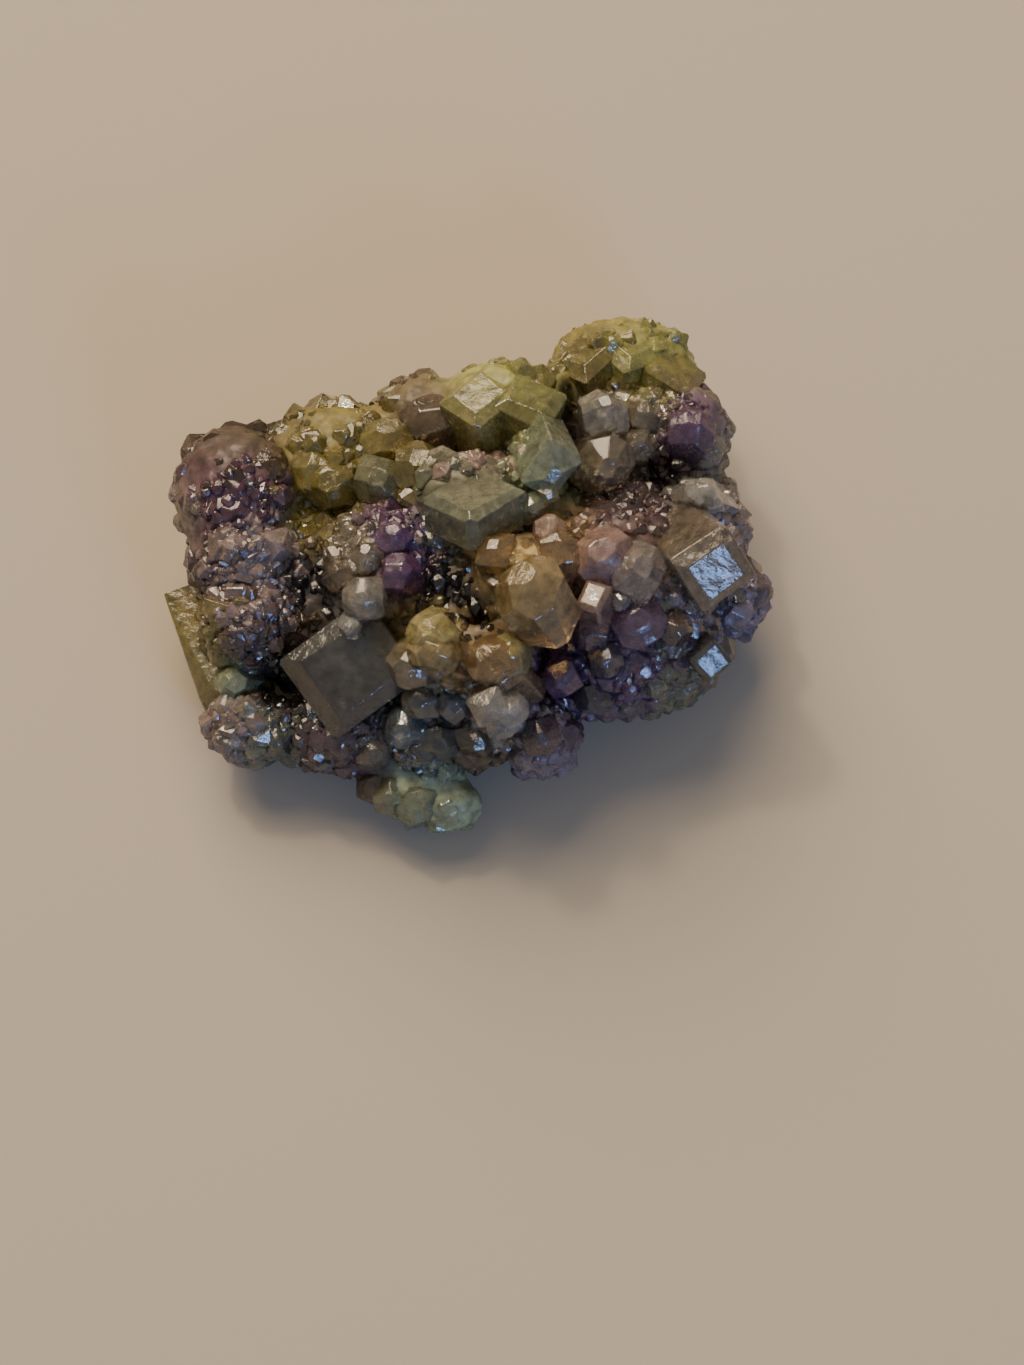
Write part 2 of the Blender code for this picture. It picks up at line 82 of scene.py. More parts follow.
FAR_OUT = 80.0  # where the rays that look for the mass begin
BUNCH_LENGTH = 1.4  # of a crystal of unit width
BUNCH_PROUD = (0.18, 0.42)  # how far small crystals stand out, in widths
BUNCH_SCATTER = 0.35  # how far their axes leave the mass's normal
CAP_RANGE = (0.06, 0.3)  # of the small crystals, as a share of their width
DEPTH_RANGE = (0.8, 1.0)
GRAIN_WIDTH = (0.25, 0.6)
ROUNDED_PART = 0.7  # of the small crystals
SHADE_RANGE = (0.85, 1.4)  # how bright a crystal's own tint may be
FOOT_FACES = -0.96  # height of the normal, under which a surface belongs to the foot
HIDDEN_MIDDLE = (0, 2, 5)  # across, up and height at which the rays for hidden crystals aim
HIDDEN_SPREAD = (9, 3)  # how far off it they aim, across and deep
LOWEST_RISE = -1.4  # of those rays
PROTOTYPES = 28  # shapes of small crystals
SEED = 14
HIDDEN_SEED = 6

# Knobs on the mass: how fine they are, and how far they stand out
KNOBS = [
    (1.1, 0.16),
    (2.6, 0.09),
]

# How the photograph frames the cluster
FRAME_PIXELS = (1024, 1365)
PIXELS_PER_MM = 20.0
FRAME_MIDDLE = (1.95, -3.2)  # across and up
AIM_HEIGHT = 6.0
VIEW_DISTANCE = 240.0
SENSOR = 36.0
NEAREST_SEEN = 0.005  # in metres
TO_VIEW = Vector((0, -math.cos(VIEW_ELEVATION), math.sin(VIEW_ELEVATION)))

# Tints as sRGB, each with the family of clear material that carries it, and how bright the mass
# below shows the tint
PALETTE = {
    "violet": ((128, 86, 136), "purple", 0.7),
    "wine": ((126, 78, 104), "purple", 0.7),
    "plum": ((116, 90, 98), "purple", 0.6),
    "lilac": ((172, 150, 144), "milky", 0.6),
    "mauve": ((158, 144, 164), "milky", 0.7),
    "pale_violet": ((164, 150, 176), "clear", 0.5),
    "olive": ((154, 140, 68), "olive", 0.9),
    "lime": ((186, 184, 104), "olive", 0.9),
    "sage": ((146, 152, 126), "olive", 0.7),
    "pale_green": ((186, 200, 160), "milky", 0.8),
    "mint": ((206, 222, 200), "clear", 1.0),
    "amber": ((200, 168, 118), "amber", 1.1),
    "gold": ((238, 212, 150), "amber", 1.1),
    "honey": ((230, 226, 152), "clear", 1.2),
    "salmon": ((242, 206, 178), "amber", 1.2),
    "rose": ((200, 164, 156), "milky", 0.6),
    "brown": ((156, 134, 106), "amber", 0.6),
    "umber": ((120, 98, 76), "amber", 0.5),
    "smoke": ((190, 178, 156), "clear", 0.7),
    "clear": ((238, 236, 226), "clear", 1.5),
    "slate": ((126, 128, 122), "slate", 0.5),
    "mist": ((150, 162, 168), "clear", 0.45),
    # painted shade: the near-black that darkens the pits, clefts and hollows
    "ink": ((44, 36, 40), "slate", 0.5),
}
MASS_SHADE = 0.55  # for all the tints together
OWN_SHARE = 0.6  # of a crystal's tint that is its own, the rest is that of its zone

# Families of clear material: how clear, its roughness and how much rougher its hazy spots are,
# and the colour of the absorption and its density per metre
FAMILIES = {
    "purple": (0.8, 0.13, 0.3, (168, 128, 172), 200.0),
    "olive": (0.76, 0.06, 0.25, (196, 186, 110), 110.0),
    "amber": (0.85, 0.03, 0.12, (236, 208, 156), 90.0),
    "milky": (0.74, 0.16, 0.3, (225, 220, 210), 60.0),
    "clear": (0.85, 0.03, 0.10, (220, 214, 200), 50.0),
    "slate": (0.85, 0.04, 0.15, (112, 114, 108), 220.0),
}
CRYSTAL_IOR = 1.7

# The cloudy mass: its shine, the share of light that it scatters, and how far each colour goes in
MASS_GLOSS = (0.44, 0.25)  # roughness, and how much rougher its hazy spots are
MASS_IOR = 1.5
MASS_GLOW = 0.4
MASS_GLOW_RADIUS = (1.0, 0.8, 0.6)
MASS_GLOW_SCALE = 0.0015

# Patterns of all the materials, their fineness per metre and their ranges
CLOUD_SCALE = 1500.0
CLOUD_RANGE = (0.3, 0.7)
CLOUD_SHADE = (0.45, 1.35)  # of the tint
RIPPLE_SCALE = 1700.0
RIPPLE_STRENGTH = 0.5
RIPPLE_DEPTH = 0.00014
SPOT_SCALE = 2600.0
SPOT_RANGE = (0.4, 0.65)

# Lamps half a metre away: heading and elevation in degrees, size in metres, watts and colour
LAMP_DISTANCE = 0.5
LAMPS = {
    "warm_lamp": (112, 48, 0.48, 4.5, (1.0, 0.80, 0.56)),
    "warm_spark": (124, 54, 0.05, 0.7, (1.0, 0.86, 0.66)),
    "window": (300, 24, 0.17, 0.8, (0.26, 0.48, 1.0)),
    "window_spark": (294, 34, 0.06, 0.4, (0.26, 0.46, 1.0)),
}
SKY_COLOUR = (1.0, 0.93, 0.84, 1)
SKY_STRENGTH = 0.32
FLOOR_SIZE = 3.0
FLOOR_DROP = 0.00002  # below the cluster, in metres
FLOOR_COLOUR = (0.38, 0.325, 0.25, 1)
FLOOR_ROUGHNESS = 0.9

# Lumps of the mass: across, up and height of the middle, and the half sizes across, deep and tall
LUMPS = [
    # core
    (-7.0, 2.0, 4.2, 6.2, 6.0, 3.8),
    (0.6, 2.0, 4.6, 6.6, 6.8, 5.3),
    (7.6, 3.4, 4.4, 5.8, 6.4, 4.2),
    # left upper lobe and the column under it
    (-11.9, 6.3, 7.2, 3.2, 3.5, 3.3),
    (-11.4, 3.0, 6.6, 2.8, 2.7, 2.9),
    (-11.2, -0.2, 5.8, 2.5, 2.5, 2.9),
    # lower left
    (-11.2, -5.4, 3.4, 2.3, 1.9, 2.3),
    (-6.3, -5.6, 3.4, 3.4, 2.3, 2.6),
    (-6.0, -1.6, 4.4, 3.6, 3.8, 2.6),
    # granular bunch left of the middle
    (-4.7, 2.7, 7.5, 3.0, 3.0, 3.2),
    # green upper left, brown round crystal, green dome
    (-6.8, 7.9, 6.2, 4.1, 3.1, 3.1),
    (-2.5, 10.1, 6.6, 2.4, 2.3, 2.7),
    (1.4, 10.6, 7.6, 3.2, 2.3, 3.2),
    (-0.4, 6.0, 8.4, 3.1, 2.2, 3.1),
    (3.3, 7.6, 8.6, 1.5, 1.9, 2.9),
    # green dome and flank on the right
    (7.6, 12.9, 5.6, 3.8, 2.5, 3.2),
    (8.7, 9.0, 5.4, 4.2, 3.5, 3.2),
    (11.0, 9.6, 6.4, 1.9, 2.2, 2.8),
    (10.9, 4.2, 4.6, 3.1, 3.5, 3.2),
    (12.8, 1.0, 3.7, 2.3, 1.8, 2.3),
    # summit and the ridge to its right
    (2.4, 1.7, 8.8, 2.4, 2.4, 3.4),
    (6.6, 3.3, 8.0, 3.6, 1.9, 3.1),
    (11.0, 2.6, 7.4, 1.8, 1.9, 3.0),
    # front crest and its foot
    (0.0, -2.0, 7.8, 3.3, 2.1, 3.0),
    (1.4, -4.4, 6.4, 1.7, 1.5, 2.9),
    # purple slope, lower right
    (7.4, -1.4, 4.9, 5.0, 3.5, 3.9),
    (8.0, 0.6, 6.8, 3.9, 2.1, 3.0),
    # bottom lobe, lower middle, tongue
    (3.3, -5.9, 4.4, 1.8, 2.0, 2.7),
    (-0.2, -5.2, 4.0, 2.3, 2.3, 2.5),
    (-2.4, -5.6, 3.8, 2.3, 2.3, 2.5),
    (-2.7, -8.6, 2.3, 2.6, 1.5, 1.7),
    (-1.1, -9.4, 2.1, 1.6, 1.3, 1.7),
    # dark bit that closes the cleft at the back
    (4.5, 11.5, 6.4, 1.3, 1.7, 2.4),
]

# Pits and clefts, given like the lumps
PITS = [
    (0.3, 0.4, 11.0, 0.8, 0.7, 3.4),
    (4.75, 9.6, 9.4, 0.55, 3.2, 4.0),
    (9.6, 7.4, 8.8, 1.4, 1.2, 2.2),
    (-9.4, -3.2, 7.2, 2.6, 0.7, 2.4),
    (-7.9, 2.6, 9.6, 0.6, 2.6, 2.2),
    (-1.0, 3.4, 11.6, 1.2, 0.7, 2.2),
]

# Single crystals: across, up and height of the cap's middle, width, depth as a share of it, and
# length, then heading and lean of the axis and the spin in degrees, the cap as a share of the
# width, and the tint
CRYSTALS = [
    # golden summit crystal, orange neighbours
    (2.4, 2.1, 14.0, 3.5, 1.0, 3.6, 140, 28, 20, 0.56, "gold"),
    (4.5, 4.0, 12.5, 2.3, 1.1, 5.0, 60, 25, 40, 0.40, "amber"),
    (3.9, 5.0, 12.1, 1.6, 1.0, 4.0, 80, 32, 15, 0.35, "rose"),
    (1.0, 3.6, 12.6, 1.9, 0.9, 4.5, 140, 16, 30, 0.30, "amber"),
    # pink pair and the small ones before it
    (6.4, 3.3, 12.6, 3.1, 0.82, 5.5, 285, 8, 32, 0.60, "rose"),
    (8.4, 2.5, 12.2, 2.8, 0.90, 5.5, 330, 20, 8, 0.50, "clear"),
    (5.9, 1.1, 11.9, 1.7, 0.80, 4.0, 132, 13, 25, 0.70, "salmon"),
    (7.4, 0.8, 11.2, 0.9, 1.0, 3.5, 300, 30, 0, 0.40, "clear"),
    # prism with the broad face to the lower right
    (12.0, 2.3, 11.8, 3.3, 1.0, 6.5, 294, 40, 12, 0.64, "smoke"),
    (9.9, 3.7, 10.8, 1.5, 1.0, 4.0, 130, 25, 35, 0.40, "lime"),
    # kite, small green ones at its foot
    (4.0, 7.0, 12.9, 2.7, 0.75, 5.0, 282, 47, 45, 0.30, "mint"),
    (3.8, 6.0, 12.0, 0.9, 1.0, 3.5, 285, 40, 10, 0.30, "gold"),
    (3.0, 5.4, 11.9, 1.5, 1.0, 4.0, 270, 25, 20, 0.40, "sage"),
    # kidney, dark one behind it, yellow-brown ones, clear pair
    (-2.2, -0.5, 12.8, 2.1, 1.0, 5.0, 200, 14, 25, 0.50, "honey"),
    (-1.3, -1.7, 12.4, 1.7, 1.2, 5.0, 330, 25, 10, 0.45, "gold"),
    (-2.7, -1.6, 12.1, 1.5, 1.0, 5.0, 215, 25, 40, 0.40, "gold"),
    (-3.4, -2.5, 10.6, 2.4, 0.9, 5.0, 230, 30, 15, 0.50, "smoke"),
    (0.5, -1.8, 12.0, 2.4, 1.0, 5.0, 176, 23, 35, 0.50, "amber"),
    (2.1, -1.5, 11.8, 2.2, 1.0, 5.0, 20, 18, 5, 0.50, "honey"),
    (1.4, -2.9, 11.3, 1.9, 0.9, 5.0, 275, 28, 25, 0.50, "amber"),
    (0.7, -4.5, 11.0, 1.8, 0.9, 5.0, 250, 34, 45, 0.25, "clear"),
    (2.1, -4.6, 10.6, 1.7, 1.0, 5.0, 300, 32, 20, 0.45, "clear"),
    (1.4, -5.5, 9.4, 1.5, 1.0, 4.5, 270, 45, 10, 0.40, "clear"),
    # bluish clear ones and purple bunch left of the middle
    (-5.5, 0.9, 11.2, 2.1, 1.0, 4.5, 250, 25, 20, 0.45, "smoke"),
    (-6.2, -0.6, 10.0, 1.1, 1.0, 4.0, 250, 40, 0, 0.40, "clear"),
    (-6.9, 2.4, 10.4, 1.7, 1.0, 4.0, 170, 28, 30, 0.40, "brown"),
    (-3.9, 4.4, 11.2, 2.0, 1.0, 4.0, 80, 12, 15, 0.45, "violet"),
    (-5.3, 3.4, 11.1, 1.9, 0.9, 4.0, 130, 14, 40, 0.40, "smoke"),
    (-3.3, 2.4, 11.4, 1.9, 1.0, 4.0, 330, 16, 25, 0.40, "violet"),
    # droplet, pointed grey-brown crystal, clear bar, purple patch on the right
    (6.6, 10.9, 10.6, 2.3, 1.0, 5.0, 80, 8, 22, 0.35, "clear"),
    (6.7, 7.5, 10.2, 3.2, 0.85, 6.0, 285, 30, 45, 0.42, "smoke"),
    (8.6, 10.6, 9.4, 1.8, 1.0, 4.0, 60, 14, 10, 0.45, "smoke"),
    (8.4, 9.0, 9.5, 1.7, 1.0, 4.0, 20, 12, 35, 0.45, "smoke"),
    (10.8, 6.3, 10.0, 1.5, 0.8, 4.0, 200, 30, 10, 0.50, "clear"),
    (11.9, 6.3, 10.0, 1.5, 0.8, 4.0, 340, 35, 20, 0.50, "clear"),
    (11.1, 10.1, 9.8, 2.4, 1.0, 4.5, 60, 12, 25, 0.50, "violet"),
    (12.1, 11.3, 8.4, 1.7, 1.0, 4.0, 45, 40, 10, 0.50, "smoke"),
    (12.5, 8.7, 8.2, 1.8, 1.0, 4.0, 350, 45, 30, 0.50, "smoke"),
    # right flank and tip
    (12.7, 5.0, 7.2, 2.1, 1.0, 4.5, 10, 45, 15, 0.50, "lilac"),
    (13.6, 2.7, 6.0, 2.2, 1.0, 4.5, 355, 55, 35, 0.50, "smoke"),
    (15.1, 1.4, 4.8, 2.2, 1.0, 4.5, 352, 68, 5, 0.34, "plum"),
    (13.9, 0.2, 5.4, 1.8, 1.0, 4.5, 325, 56, 20, 0.40, "mauve"),
    # serrated rim at the lower right
    (11.9, -2.2, 7.7, 1.7, 1.0, 4.0, 294, 41, 20, 0.72, "slate"),
    (9.5, -4.1, 5.4, 1.8, 1.0, 4.0, 280, 58, 15, 0.35, "sage"),
    (10.9, -3.7, 5.3, 1.6, 1.0, 4.0, 290, 58, 35, 0.35, "smoke"),
    (12.1, -3.2, 5.0, 1.6, 1.0, 4.0, 305, 60, 10, 0.35, "smoke"),
    (13.0, -1.9, 5.0, 1.6, 1.0, 4.0, 320, 60, 25, 0.35, "smoke"),
    # half-purple dome and neighbours on the purple slope
    (8.2, -0.1, 10.4, 2.7, 1.0, 5.0, 280, 20, 20, 0.50, "violet"),
    (5.6, -0.6, 10.0, 2.1, 1.0, 4.5, 240, 25, 10, 0.45, "plum"),
    (10.4, -0.6, 9.4, 1.7, 1.0, 4.0, 320, 35, 35, 0.45, "brown"),
    (4.4, -3.2, 9.0, 1.7, 1.0, 4.0, 270, 35, 25, 0.45, "violet"),
    (6.7, -2.3, 9.0, 1.7, 1.0, 4.0, 280, 35, 5, 0.45, "slate"),
    (8.6, -2.7, 8.0, 1.7, 1.0, 4.0, 290, 40, 40, 0.45, "violet"),
    (6.0, -4.4, 6.8, 1.8, 1.0, 4.0, 270, 50, 15, 0.40, "slate"),
    (7.8, -4.6, 5.8, 1.6, 1.0, 4.0, 275, 55, 30, 0.40, "sage"),
    # bottom lobe
    (3.4, -6.0, 7.6, 1.9, 1.0, 4.0, 270, 30, 15, 0.45, "plum"),
    (2.3, -7.1, 5.8, 1.6, 1.0, 4.0, 240, 50, 35, 0.40, "lilac"),
    (3.6, -7.6, 5.2, 1.7, 1.0, 4.0, 270, 58, 10, 0.40, "mauve"),
    (4.6, -6.8, 5.8, 1.6, 1.0, 4.0, 310, 50, 25, 0.40, "mauve"),
    # dark lumps of the lower middle, tongue
    (-2.7, -4.1, 8.0, 1.9, 1.0, 4.5, 250, 24, 20, 0.50, "smoke"),
    (-0.9, -4.4, 8.2, 1.6, 1.0, 4.5, 280, 30, 40, 0.50, "mist"),
    (-3.5, -5.7, 6.7, 2.0, 1.0, 4.5, 250, 36, 5, 0.50, "mist"),
    (-1.6, -6.4, 6.4, 1.9, 1.0, 4.5, 270, 42, 25, 0.50, "slate"),
    (0.3, -6.3, 6.5, 1.9, 1.0, 4.5, 285, 42, 10, 0.45, "brown"),
    (-4.2, -9.1, 3.7, 1.9, 1.0, 3.0, 250, 40, 20, 0.45, "sage"),
    (-2.9, -9.1, 3.9, 2.2, 1.0, 3.0, 250, 16, 35, 0.60, "sage"),
    (-1.2, -9.5, 3.6, 1.9, 1.0, 3.2, 290, 26, 10, 0.50, "mint"),
    (-5.3, -8.9, 3.2, 1.6, 1.0, 3.5, 250, 50, 30, 0.40, "brown"),
    # dark smooth crystal with the broad cap, olive prism that lies on the left
    (-6.2, -2.6, 8.3, 5.4, 0.9, 5.0, 255, 24, 50, 0.66, "slate"),
    (-11.7, -4.9, 3.2, 3.4, 0.9, 7.0, 288, 94, 10, 0.55, "olive"),
    # lower left
    (-12.4, -3.1, 6.2, 1.5, 1.0, 4.0, 200, 30, 15, 0.45, "pale_green"),
    (-12.6, -4.5, 5.6, 1.4, 1.0, 4.0, 220, 38, 35, 0.45, "lilac"),
    (-11.1, -5.2, 5.8, 1.7, 1.0, 4.0, 250, 30, 20, 0.40, "lilac"),
    (-9.8, -6.3, 5.0, 1.7, 1.0, 4.0, 280, 45, 5, 0.40, "slate"),
    (-12.3, -6.0, 4.8, 1.6, 1.0, 4.0, 230, 50, 30, 0.35, "plum"),
    (-8.4, -6.7, 4.6, 1.8, 1.0, 4.0, 265, 48, 15, 0.35, "plum"),
    (-6.9, -6.2, 5.8, 2.2, 1.0, 4.0, 260, 34, 35, 0.50, "plum"),
    (-4.9, -6.9, 5.2, 2.0, 1.0, 4.0, 275, 42, 10, 0.50, "smoke"),
    (-6.3, -7.6, 3.8, 1.6, 1.0, 4.0, 265, 55, 25, 0.40, "brown"),
    # glassy shell of the left lobe
    (-12.6, 7.8, 9.8, 3.0, 0.9, 5.0, 130, 20, 20, 0.50, "umber"),
    (-10.8, 8.3, 10.0, 3.2, 0.9, 5.0, 70, 20, 40, 0.60, "umber"),
    (-14.0, 5.8, 8.8, 2.8, 0.9, 5.0, 175, 40, 10, 0.55, "smoke"),
    # green upper left
    (-8.6, 8.0, 9.3, 2.8, 0.9, 5.0, 150, 32, 20, 0.60, "olive"),
    (-6.4, 9.5, 9.1, 2.8, 0.9, 5.0, 95, 28, 40, 0.60, "olive"),
    (-4.3, 9.7, 9.7, 2.7, 0.9, 5.0, 85, 22, 10, 0.60, "olive"),
    (-7.2, 6.9, 9.6, 2.5, 1.0, 5.0, 250, 10, 30, 0.60, "olive"),
    (-4.8, 7.0, 10.0, 2.4, 1.0, 5.0, 250, 12, 5, 0.55, "sage"),
    (-2.6, 8.0, 10.6, 2.5, 1.0, 5.0, 60, 10, 25, 0.55, "olive"),
    (-2.2, 10.9, 9.6, 3.0, 1.0, 5.0, 95, 26, 15, 0.60, "brown"),
    # green domes
    (0.3, 11.3, 11.0, 3.2, 0.9, 5.0, 110, 22, 25, 0.62, "lime"),
    (2.9, 11.2, 11.0, 3.2, 0.9, 5.0, 60, 22, 5, 0.62, "lime"),
    (0.0, 6.3, 12.1, 3.9, 1.0, 2.0, 100, 38, 35, 0.78, "sage"),
    (5.6, 13.7, 8.6, 3.2, 0.9, 4.5, 120, 30, 20, 0.62, "olive"),
    (8.2, 14.2, 8.6, 3.4, 0.9, 4.5, 85, 28, 40, 0.62, "lime"),
    (10.4, 12.8, 8.5, 2.8, 0.9, 4.5, 50, 32, 10, 0.62, "olive"),
]

# Bunches: across and up of the middle, half sizes across and up, how many, and the widths
BUNCHES = [
    (-11.2, 1.2, 2.2, 3.4, 13, 1.1, 1.7),
    (-11.6, 5.6, 2.0, 1.8, 6, 1.1, 1.6),
    (-4.6, 2.8, 2.6, 2.8, 9, 1.0, 1.5),
    (8.0, 9.2, 2.6, 1.8, 7, 1.0, 1.6),
    (6.8, -2.4, 4.4, 2.2, 15, 1.0, 1.6),
    (3.4, -5.6, 1.6, 1.8, 4, 1.0, 1.4),
    (-8.6, -6.2, 3.4, 1.2, 6, 1.0, 1.6),
    (-1.6, -5.2, 2.8, 1.6, 5, 1.2, 1.8),
    (12.6, 5.2, 1.3, 3.0, 6, 1.1, 1.6),
    (11.6, -0.6, 1.8, 1.6, 6, 1.0, 1.5),
    (3.8, -0.9, 1.8, 1.3, 9, 1.0, 1.6),
]

# Zones of colour: across and up of the middle, how far it reaches, its strength, and the tint. The
# near-black zones at the pits and hollows are painted shade
ZONES = [
    # left lobe and column
    (-12.0, 8.8, 1.9, 1.6, "umber"),
    (-12.4, 6.2, 1.6, 2.2, "wine"),
    (-10.8, 6.8, 1.2, 2.0, "wine"),
    (-14.4, 5.6, 1.0, 1.0, "smoke"),
    (-11.3, 3.6, 1.8, 1.0, "lilac"),
    (-11.2, 1.2, 1.8, 1.0, "lilac"),
    (-12.4, 2.6, 1.2, 1.0, "plum"),
    (-11.0, -0.8, 1.5, 1.0, "plum"),
    (-14.3, -1.6, 1.6, 2.0, "olive"),
    (-12.3, -3.2, 0.8, 2.0, "pale_green"),
    # lower left
    (-11.9, -5.0, 1.4, 1.0, "lilac"),
    (-9.9, -6.0, 1.3, 1.0, "sage"),
    # painted shade in the gap and the cleft on the left
    (-9.4, -3.2, 1.2, 2.0, "ink"),
    (-7.9, 1.4, 1.1, 2.0, "ink"),
    (-7.8, -1.6, 1.8, 1.4, "umber"),
    (-5.4, -3.2, 2.0, 1.4, "slate"),
    (-6.6, -6.4, 2.0, 1.0, "plum"),
    (-5.2, -8.9, 0.8, 1.5, "brown"),
    (-2.2, -9.4, 1.7, 1.5, "pale_green"),
    # bunch left of the middle
    (-8.2, 4.6, 0.9, 1.6, "olive"),
    (-5.8, 3.2, 1.5, 1.0, "smoke"),
    (-4.0, 4.4, 1.1, 1.6, "violet"),
    (-3.4, 2.4, 1.1, 1.6, "violet"),
    (-5.6, 0.9, 1.0, 1.5, "clear"),
    # green masses at the back
    (-8.6, 7.6, 1.8, 1.0, "olive"),
    (-5.8, 8.4, 2.4, 1.0, "olive"),
    (-2.5, 10.5, 1.4, 1.4, "brown"),
    (1.6, 11.2, 2.4, 1.2, "lime"),
    (0.2, 8.6, 1.5, 1.2, "rose"),
    (-0.2, 6.0, 1.9, 1.2, "sage"),
    (3.7, 7.7, 1.5, 1.6, "pale_green"),
    (4.7, 9.2, 0.9, 2.4, "plum"),
    (6.4, 13.6, 2.2, 1.0, "olive"),
    (9.2, 13.8, 2.2, 1.0, "lime"),
    # right
    (6.8, 10.6, 1.4, 1.2, "smoke"),
    (8.8, 9.8, 1.3, 1.0, "smoke"),
    (11.1, 9.9, 1.3, 2.4, "violet"),
    # painted shade in the pit on the right
    (9.6, 7.5, 1.0, 2.4, "ink"),
    (9.8, 7.2, 1.2, 2.6, "plum"),
    (7.8, 5.3, 1.4, 1.6, "plum"),
    (6.6, 7.6, 1.4, 1.4, "brown"),
    (13.3, 8.6, 1.4, 3.0, "smoke"),
    (11.4, 6.3, 1.0, 1.4, "clear"),
    (13.4, 4.0, 1.8, 1.0, "lilac"),
    (14.4, 0.8, 1.0, 1.4, "mauve"),
    (11.2, 2.4, 1.5, 1.0, "smoke"),
    # summit
    (7.2, 3.0, 1.8, 1.2, "rose"),
    (4.5, 4.0, 1.2, 1.4, "amber"),
    (2.4, 1.8, 1.8, 1.2, "gold"),
    (0.6, 3.2, 1.2, 1.2, "amber"),
    # painted shade in the black pit and in the dark hollow left of the summit
    (0.3, 0.3, 1.1, 4.0, "ink"),
    (-1.2, 1.6, 1.0, 3.0, "ink"),
    (2.6, 4.4, 0.7, 2.0, "umber"),
    (4.2, -0.8, 1.2, 1.8, "plum"),
    # front
    (-2.0, -1.2, 1.5, 1.4, "gold"),
    (1.2, -1.8, 1.6, 1.2, "amber"),
    (1.4, -4.6, 1.2, 1.4, "clear"),
    (5.2, -1.8, 2.0, 1.2, "violet"),
    (7.6, -2.6, 2.2, 1.2, "violet"),
    (6.4, -2.8, 1.7, 1.2, "pale_violet"),
    (8.4, -0.6, 1.1, 1.4, "sage"),
    (11.6, -0.6, 1.3, 1.0, "mauve"),
    (12.0, -2.4, 1.2, 1.4, "slate"),
    (10.2, -3.8, 1.3, 1.4, "sage"),
    (3.4, -5.2, 1.1, 1.2, "plum"),
    (3.5, -7.0, 1.2, 1.4, "mauve"),
    (-0.2, -5.8, 1.6, 1.0, "brown"),
    (-2.4, -5.4, 1.8, 1.0, "slate"),
    (-1.8, -5.6, 1.6, 0.7, "mist"),
]

# Druse of small crystals, given like the bunches
DRUSE = [
    (-11.2, 1.2, 2.6, 4.0, 190, 0.5, 1.1),
    (-12.0, 5.8, 2.6, 2.2, 70, 0.5, 1.0),
    (-4.7, 2.9, 3.0, 3.0, 150, 0.5, 1.1),
    (-6.0, 7.4, 4.2, 3.0, 60, 0.7, 1.4),
    (0.6, 8.4, 3.0, 2.0, 70, 0.5, 1.2),
    (8.0, 9.0, 4.2, 3.2, 200, 0.5, 1.1),
    (7.6, 5.4, 2.8, 1.4, 60, 0.5, 1.0),
    (7.0, -1.6, 5.4, 3.6, 330, 0.5, 1.2),
    (11.6, -1.6, 2.4, 2.2, 80, 0.5, 1.0),
    (3.4, -6.2, 2.0, 2.4, 80, 0.5, 1.1),
    (-9.6, -5.8, 4.4, 2.0, 150, 0.5, 1.2),
    (-1.6, -5.4, 3.6, 2.4, 200, 0.6, 1.4),
    (13.0, 4.6, 1.8, 4.0, 90, 0.5, 1.1),
    (0.5, -0.5, 4.0, 4.0, 110, 0.5, 1.1),
    (1.4, 3.8, 5.0, 2.0, 60, 0.5, 1.1),
    (-9.0, 0.0, 2.0, 5.0, 60, 0.5, 1.0),
    (-8.2, 4.4, 1.1, 1.5, 30, 0.5, 1.0),
    (7.6, 13.2, 4.0, 2.4, 40, 0.7, 1.4),
]

# Fine grains where the druse is granular, given like the bunches
GRAINS = [
    (-11.3, 0.8, 2.8, 4.8, 500, *GRAIN_WIDTH),
    (-4.7, 2.7, 3.2, 3.2, 350, *GRAIN_WIDTH),
    (0.5, -0.8, 4.6, 4.6, 400, *GRAIN_WIDTH),
    (7.5, -1.5, 6.0, 4.2, 900, *GRAIN_WIDTH),
    (8.6, 8.4, 3.8, 3.6, 350, *GRAIN_WIDTH),
    (-8.4, -5.6, 5.0, 2.0, 350, *GRAIN_WIDTH),
    (-1.5, -5.6, 4.0, 2.4, 300, *GRAIN_WIDTH),
    (13.0, 3.0, 2.0, 4.4, 150, *GRAIN_WIDTH),
    (1.0, 8.4, 4.0, 2.0, 150, *GRAIN_WIDTH),
]

# Crystals that cover the back, the sides and the underside: how many, their widths, how far the
# surface may face the view, and the steepest rise of the rays that find it
HIDDEN = [
    (60, 1.8, 2.6, -0.35, 0.5),
    (160, 1.2, 1.9, 0.0, 0.5),
    (700, 0.6, 1.5, 0.45, 1.0),
    (1400, *GRAIN_WIDTH, 0.45, 1.0),
]


def seen_at(across, up, height):
    """The point over the ground that the view shows at across and up."""
    deep = (up - height * math.cos(VIEW_ELEVATION)) / math.sin(VIEW_ELEVATION)
    return Vector((across, deep, height))


def in_frame(point):
    """A point in millimetres as a place in the frame, in metres."""
    return (point - BOX_MIDDLE) * METRES_PER_MM


def lean_axis(heading, lean):
    """The unit vector that leans from straight up toward a heading, both in degrees."""
    flat = math.sin(math.radians(lean))
    turn = math.radians(heading)
    return Vector((flat * math.cos(turn), flat * math.sin(turn), math.cos(math.radians(lean))))


def linear(srgb):
    """An sRGB colour of 0 to 255 as linear light."""
    return tuple(((part / 255 + 0.055) / 1.055) ** 2.4 for part in srgb)


def link_new(name, mesh):
    thing = bpy.data.objects.new(name, mesh)
    bpy.context.scene.collection.objects.link(thing)
    return thing


def evaluated_mesh(thing, name):
    """The mesh of the object with its modifiers, as a new one."""
    bpy.context.view_layer.update()
    graph = bpy.context.evaluated_depsgraph_get()
    mesh = bpy.data.meshes.new_from_object(thing.evaluated_get(graph))
    mesh.name = name
    return mesh


